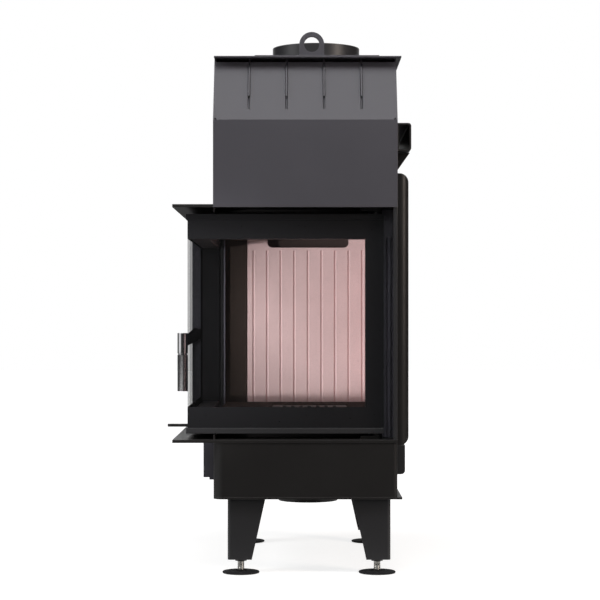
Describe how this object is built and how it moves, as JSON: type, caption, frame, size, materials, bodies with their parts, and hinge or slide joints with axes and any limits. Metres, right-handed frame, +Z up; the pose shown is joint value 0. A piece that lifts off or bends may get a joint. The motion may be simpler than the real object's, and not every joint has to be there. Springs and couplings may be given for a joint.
{
  "type": "fireplace insert",
  "caption": "Tall corner wood-burning fireplace insert with an L-shaped glass door on its front and left side, sloped hood, flue collar and levelling feet.",
  "frame": {"origin": "on the floor, under the middle of the part's bounding box", "axes": "+Z up, -Y out of the glass front, -X out of the side glass"},
  "size_m": [0.5116, 0.59, 1.0845],
  "materials": {
    "hood_paint": "matte grey stove paint",
    "body_paint": "matte black stove paint",
    "door_paint": "satin black stove paint",
    "bright_steel": "bright zinc-plated and stainless",
    "plain_steel": "plain drawn steel",
    "chrome": "polished, fine knurl",
    "ceramic_glass": "clear ceramic glass",
    "fireclay": "pressed fireclay, ribbed",
    "dark_fireclay": "sooted fireclay",
    "cast_iron": "raw casting",
    "rope_seal": "braided glass rope"
  },
  "bodies": {
    "casing": {"hood_front": "hood_paint", "hood_left": "hood_paint", "hood_right": "hood_paint", "hood_back": "hood_paint", "hood_fins": "hood_paint", "top_plate": "hood_paint", "flue_plate": "hood_paint", "lifting_eye": "hood_paint", "right_jamb": "hood_paint", "left_jamb": "hood_paint", "base_plate": "body_paint", "base_box": "body_paint", "air_inlet_collar": "body_paint", "air_box_left": "body_paint", "air_duct_right": "body_paint", "bottom_flange": "body_paint", "top_flange": "body_paint", "firebox_back": "body_paint", "right_wall": "body_paint", "sill_strips": "body_paint", "lintel_strips": "body_paint", "side_cover": "body_paint", "rear_cover": "body_paint", "hinge_brackets": "body_paint", "flue_collar": "body_paint", "side_bracket": "body_paint", "leg_front_left": "body_paint", "leg_front_right": "body_paint", "leg_rear_left": "body_paint", "leg_rear_right": "body_paint", "foot_lock_nuts": "bright_steel", "latch_keeper": "plain_steel", "ash_pan": "plain_steel", "back_lining": "fireclay", "right_lining": "fireclay", "left_lining": "dark_fireclay", "hearth_bricks": "dark_fireclay", "smoke_baffle": "dark_fireclay", "grate": "cast_iron"},
    "door": {"door_front_top_rail": "door_paint", "door_front_bottom_rail": "door_paint", "door_side_top_rail": "door_paint", "door_side_bottom_rail": "door_paint", "door_hinge_stile": "door_paint", "door_rear_stile": "door_paint", "front_glass": "ceramic_glass", "side_glass": "ceramic_glass", "glass_strips_bottom": "door_paint", "glass_strips_top": "door_paint", "door_gasket": "rope_seal", "hinge_plugs": "plain_steel"},
    "handle": {"handle_grip": "chrome", "handle_neck": "door_paint", "latch_spindle": "plain_steel"},
    "air_control": {"air_lever": "plain_steel", "air_shutter": "plain_steel"},
    "foot_front_left": {"levelling_foot_front_left": "bright_steel"},
    "foot_front_right": {"levelling_foot_front_right": "bright_steel"},
    "foot_rear_left": {"levelling_foot_rear_left": "bright_steel"},
    "foot_rear_right": {"levelling_foot_rear_right": "bright_steel"}
  },
  "joints": [
    {"name": "door_swing", "type": "hinge", "parent": "casing", "child": "door", "pos_m": [0.18975, -0.25, 0.4965], "axis": [0, 0, 1], "range_deg": [0, 90]},
    {"name": "handle_turn", "type": "hinge", "parent": "door", "child": "handle", "pos_m": [-0.18825, 0.239, 0.4715], "axis": [-1, 0, 0], "range_deg": [0, 90]},
    {"name": "air_slide", "type": "slide", "parent": "casing", "child": "air_control", "axis": [0, 1, 0], "range_m": [-0.03, 0.03]},
    {"name": "level_front_left", "type": "slide", "parent": "casing", "child": "foot_front_left", "axis": [0, 0, 1], "range_m": [-0.025, 0]},
    {"name": "level_front_right", "type": "slide", "parent": "casing", "child": "foot_front_right", "axis": [0, 0, 1], "range_m": [-0.025, 0]},
    {"name": "level_rear_left", "type": "slide", "parent": "casing", "child": "foot_rear_left", "axis": [0, 0, 1], "range_m": [-0.025, 0]},
    {"name": "level_rear_right", "type": "slide", "parent": "casing", "child": "foot_rear_right", "axis": [0, 0, 1], "range_m": [-0.025, 0]}
  ]
}
